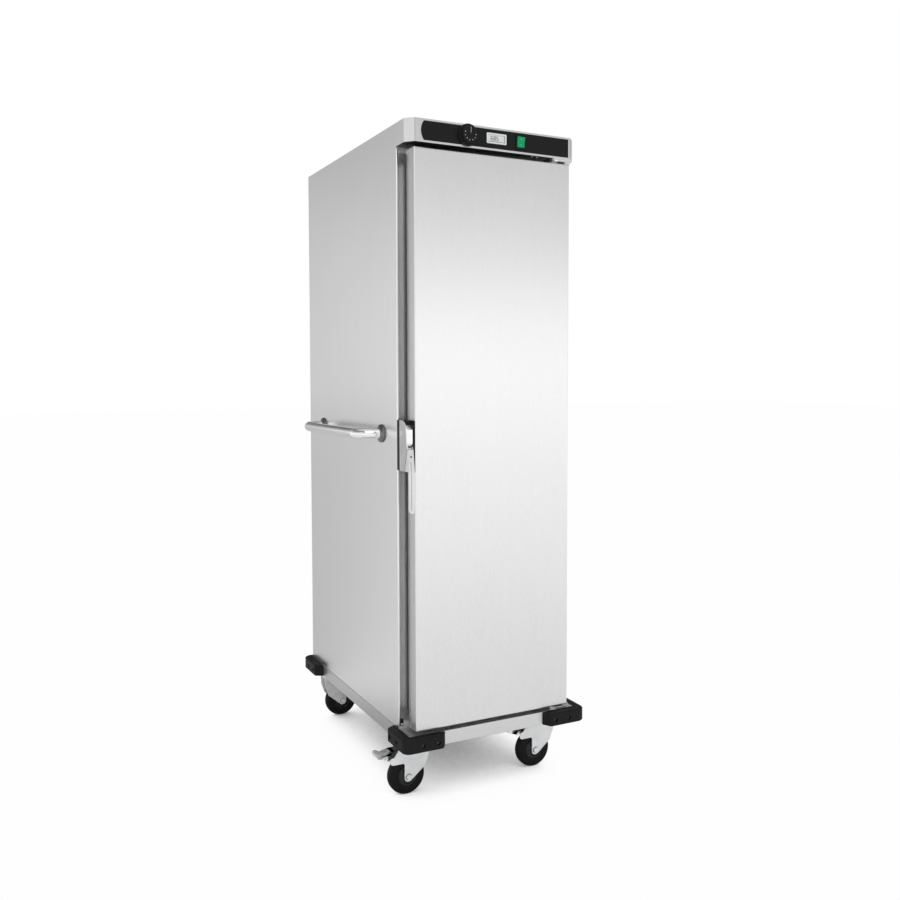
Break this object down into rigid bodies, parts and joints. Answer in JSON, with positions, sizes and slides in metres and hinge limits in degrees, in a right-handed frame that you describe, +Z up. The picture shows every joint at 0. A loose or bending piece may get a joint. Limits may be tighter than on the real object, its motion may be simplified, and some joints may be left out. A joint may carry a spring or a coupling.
{
  "type": "heated banquet cart",
  "caption": "Tall insulated food warming cart with a hinged door, tray runners, fan heater in the head, side push handle, corner bumpers and swivel casters.",
  "frame": {"origin": "middle of the footprint on the floor, handle and bumpers included", "axes": "+Z up from the floor, -Y towards the door, +X towards the door's hinges"},
  "size_m": [0.5985, 0.821, 1.74],
  "materials": {
    "body_steel": "satin stainless sheet",
    "door_steel": "satin stainless sheet",
    "inner_steel": "plain stainless sheet",
    "zinc": "bright zinc plate",
    "chrome": "polished",
    "aluminium": "mill finish",
    "motor": "semi-gloss",
    "heater": "heat-tinted sheath",
    "magnet": "ground",
    "insulation": "mineral fibre board",
    "black_plastic": "fine-grained moulding",
    "silver_plastic": "silver moulding",
    "fascia": "printed film",
    "window": "clear",
    "green_rocker": "lit translucent moulding",
    "seal": "matte",
    "bush": "moulded",
    "bumper_rubber": "dense moulded rubber",
    "hub_nylon": "moulded",
    "tyre": "solid rubber",
    "brake_plastic": "glass-filled moulding"
  },
  "bodies": {
    "cabinet": {"back_panel": "body_steel", "base_frame": "zinc", "bumper_front_left": "bumper_rubber", "bumper_front_right": "bumper_rubber", "bumper_rear_left": "bumper_rubber", "bumper_rear_right": "bumper_rubber", "bumper_screws": "zinc", "caster_bolts": "zinc", "caster_plates": "zinc", "control_fascia": "fascia", "control_housing": "body_steel", "fan_baffle": "inner_steel", "fan_motor": "motor", "front_frame": "body_steel", "handle_bolts": "zinc", "handle_flanges": "chrome", "handle_tube": "chrome", "heater_element": "heater", "hinge_bracket_bottom": "zinc", "hinge_bracket_top": "zinc", "inner_liner": "inner_steel", "insulation": "insulation", "latch_strike": "black_plastic", "power_inlet": "black_plastic", "roof_panel": "body_steel", "side_panel_left": "body_steel", "side_panel_right": "body_steel", "strike_plate": "zinc", "switch_case": "black_plastic", "thermometer_case": "silver_plastic", "thermometer_window": "window", "thermostat_body": "black_plastic", "tray_rack_left": "inner_steel", "tray_rack_right": "inner_steel"},
    "door": {"door_skin": "door_steel", "door_inner_pan": "inner_steel", "door_core": "insulation", "door_seal": "seal", "hinge_bushes": "bush", "latch_housing": "chrome", "latch_pad": "black_plastic"},
    "latch_lever": {"latch_lever": "chrome"},
    "latch_magnet": {"latch_magnet": "magnet"},
    "knob": {"thermostat_knob": "black_plastic"},
    "rocker": {"switch_rocker": "green_rocker"},
    "fan": {"fan_wheel": "aluminium"},
    "swivel_front_left": {"caster_fork_front_left": "zinc"},
    "wheel_front_left": {"caster_hub_front_left": "hub_nylon", "caster_tyre_front_left": "tyre"},
    "swivel_front_right": {"caster_fork_front_right": "zinc"},
    "wheel_front_right": {"caster_hub_front_right": "hub_nylon", "caster_tyre_front_right": "tyre"},
    "swivel_rear_left": {"caster_fork_rear_left": "zinc"},
    "wheel_rear_left": {"caster_hub_rear_left": "hub_nylon", "caster_tyre_rear_left": "tyre"},
    "swivel_rear_right": {"caster_fork_rear_right": "zinc"},
    "wheel_rear_right": {"caster_hub_rear_right": "hub_nylon", "caster_tyre_rear_right": "tyre"},
    "brake_front_left": {"caster_brake_front_left": "brake_plastic"},
    "brake_front_right": {"caster_brake_front_right": "brake_plastic"}
  },
  "joints": [
    {"name": "door_hinge", "type": "hinge", "parent": "cabinet", "child": "door", "pos_m": [0.24275, -0.361, 0.93], "axis": [0, 0, 1], "range_deg": [0, 180]},
    {"name": "latch_lever_turn", "type": "hinge", "parent": "door", "child": "latch_lever", "pos_m": [-0.21675, -0.3754, 0.9198], "axis": [-1, 0, 0], "range_deg": [0, 35], "stiffness_Nm_per_rad": 0.3},
    {"name": "latch_magnet_slide", "type": "slide", "parent": "door", "child": "latch_magnet", "axis": [0, -1, 0], "range_m": [0, 0.004]},
    {"name": "thermostat_turn", "type": "hinge", "parent": "cabinet", "child": "knob", "pos_m": [-0.05775, -0.39, 1.712], "axis": [0, 1, 0], "range_deg": [0, 270]},
    {"name": "switch_rock", "type": "hinge", "parent": "cabinet", "child": "rocker", "pos_m": [0.09875, -0.3868, 1.712], "axis": [-1, 0, 0], "range_deg": [0, 16]},
    {"name": "fan_spin", "type": "hinge", "parent": "cabinet", "child": "fan", "pos_m": [0.02475, 0.014, 1.64], "axis": [0, 0, 1], "continuous": true},
    {"name": "caster_swivel_front_left", "type": "hinge", "parent": "cabinet", "child": "swivel_front_left", "pos_m": [-0.17075, -0.3005, 0.13], "axis": [0, 0, 1], "continuous": true},
    {"name": "wheel_spin_front_left", "type": "hinge", "parent": "swivel_front_left", "child": "wheel_front_left", "pos_m": [-0.19875, -0.3005, 0.0508], "axis": [0, 1, 0], "continuous": true},
    {"name": "caster_swivel_front_right", "type": "hinge", "parent": "cabinet", "child": "swivel_front_right", "pos_m": [0.22025, -0.3005, 0.13], "axis": [0, 0, 1], "continuous": true},
    {"name": "wheel_spin_front_right", "type": "hinge", "parent": "swivel_front_right", "child": "wheel_front_right", "pos_m": [0.19225, -0.3005, 0.0508], "axis": [0, 1, 0], "continuous": true},
    {"name": "caster_swivel_rear_left", "type": "hinge", "parent": "cabinet", "child": "swivel_rear_left", "pos_m": [-0.18125, 0.326, 0.13], "axis": [0, 0, 1], "continuous": true},
    {"name": "wheel_spin_rear_left", "type": "hinge", "parent": "swivel_rear_left", "child": "wheel_rear_left", "pos_m": [-0.15325, 0.326, 0.0508], "axis": [0, 1, 0], "continuous": true},
    {"name": "caster_swivel_rear_right", "type": "hinge", "parent": "cabinet", "child": "swivel_rear_right", "pos_m": [0.23075, 0.326, 0.13], "axis": [0, 0, 1], "continuous": true},
    {"name": "wheel_spin_rear_right", "type": "hinge", "parent": "swivel_rear_right", "child": "wheel_rear_right", "pos_m": [0.20275, 0.326, 0.0508], "axis": [0, 1, 0], "continuous": true},
    {"name": "brake_pedal_front_left", "type": "hinge", "parent": "swivel_front_left", "child": "brake_front_left", "pos_m": [-0.21275, -0.3005, 0.12], "axis": [0, -1, 0], "range_deg": [0, 12]},
    {"name": "brake_pedal_front_right", "type": "hinge", "parent": "swivel_front_right", "child": "brake_front_right", "pos_m": [0.17825, -0.3005, 0.12], "axis": [0, -1, 0], "range_deg": [0, 12]}
  ],
  "couplings": [
    {"joint": "latch_magnet_slide", "follows": "latch_lever_turn", "m_per_rad": 0.0065}
  ]
}
